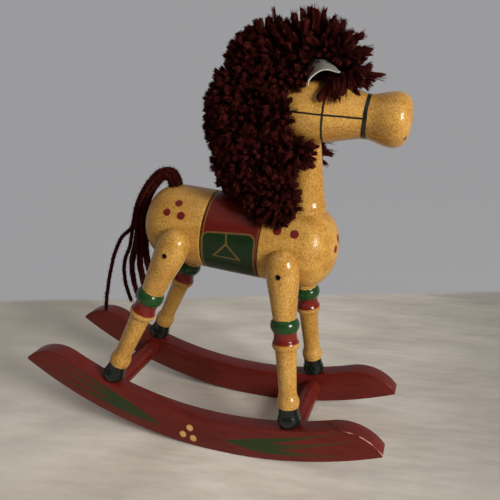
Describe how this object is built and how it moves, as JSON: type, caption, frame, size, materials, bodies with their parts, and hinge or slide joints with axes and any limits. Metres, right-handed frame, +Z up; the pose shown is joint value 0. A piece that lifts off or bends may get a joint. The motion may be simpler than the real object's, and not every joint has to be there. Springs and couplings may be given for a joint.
{
  "type": "rocking horse ornament",
  "caption": "Small turned-wood rocking horse on two curved rockers, with a cut-yarn mane, a hanging yarn tail and leatherette ears.",
  "frame": {"origin": "on the floor under the middle of the two rockers' length and width: the bottom centre of the bounding box", "axes": "+X towards the horse's nose, +Y to its left, +Z up; the horse is at rest, balanced on its curved rockers, which the head's weight tilts 6 degrees nose down"},
  "size_m": [0.2412, 0.081, 0.2562],
  "materials": {
    "varnished_wood": "clear gloss varnish over honey-coloured wood, with painted bands, saddle and bridle",
    "red_paint": "dark red semi-gloss paint with green leaves and gold dots",
    "steel": "dull, darkened",
    "yarn": "matte burgundy wool-like yarn, cut ends",
    "leatherette": "matte black coating on a pale woven backing"
  },
  "bodies": {
    "root": {"rocker_right": "red_paint", "rocker_left": "red_paint", "crossbar_front": "red_paint", "crossbar_rear": "red_paint", "body": "varnished_wood", "neck": "varnished_wood", "head": "varnished_wood", "leg_front_right": "varnished_wood", "leg_front_left": "varnished_wood", "leg_rear_right": "varnished_wood", "leg_rear_left": "varnished_wood", "brad_front_right": "steel", "brad_front_left": "steel", "brad_rear_right": "steel", "brad_rear_left": "steel", "ear_right": "leatherette", "ear_left": "leatherette", "mane_neck": "yarn", "mane_crown": "yarn", "forelock": "yarn", "tail_strand_1": "yarn", "tail_strand_2": "yarn", "tail_strand_3": "yarn", "tail_strand_4": "yarn", "tail_strand_5": "yarn", "tail_strand_6": "yarn", "tail_strand_7": "yarn", "tail_strand_8": "yarn", "tail_strand_9": "yarn", "tail_strand_10": "yarn"}
  },
  "joints": []
}
